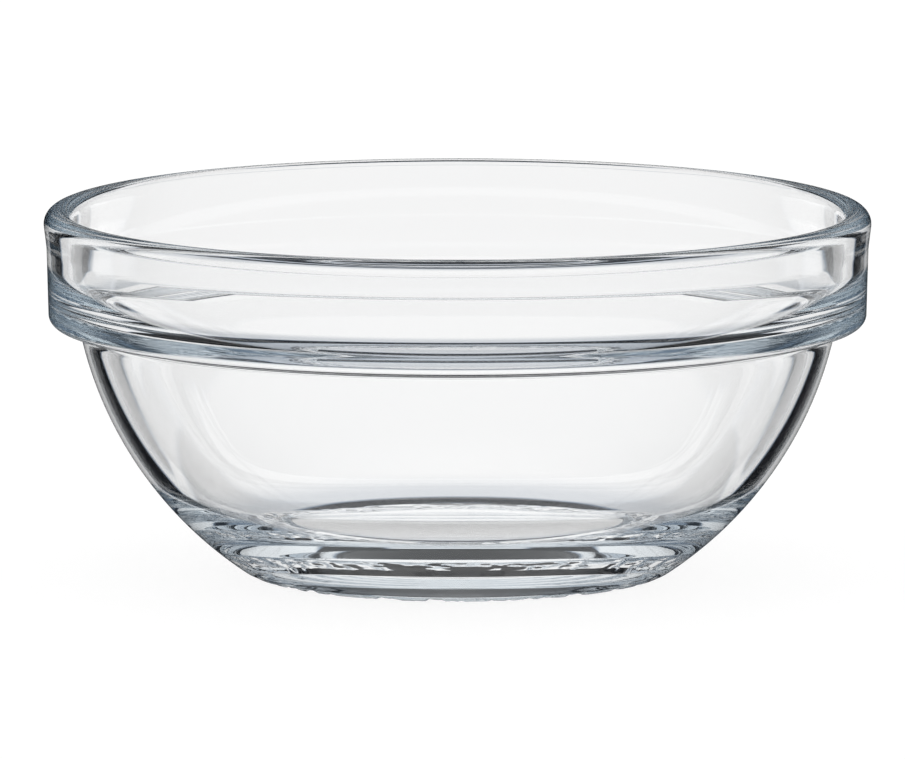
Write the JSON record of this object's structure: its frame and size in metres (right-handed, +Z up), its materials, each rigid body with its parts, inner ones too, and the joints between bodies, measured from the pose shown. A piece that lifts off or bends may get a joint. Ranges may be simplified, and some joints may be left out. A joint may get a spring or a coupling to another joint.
{
  "type": "prep bowl",
  "caption": "Round clear glass prep bowl with a rounded lip, a stacking collar, a ball-shaped body and a thick foot, for holding portions of food.",
  "frame": {"origin": "centre of the foot, on the table plane", "axes": "+Z up along the bowl's axis of revolution, from the foot to the lip; X and Y are any two level directions"},
  "size_m": [0.12, 0.12, 0.0534],
  "materials": {
    "clear_glass": "clear pressed glass, fire-polished"
  },
  "bodies": {
    "root": {"bowl": "clear_glass"}
  },
  "joints": []
}
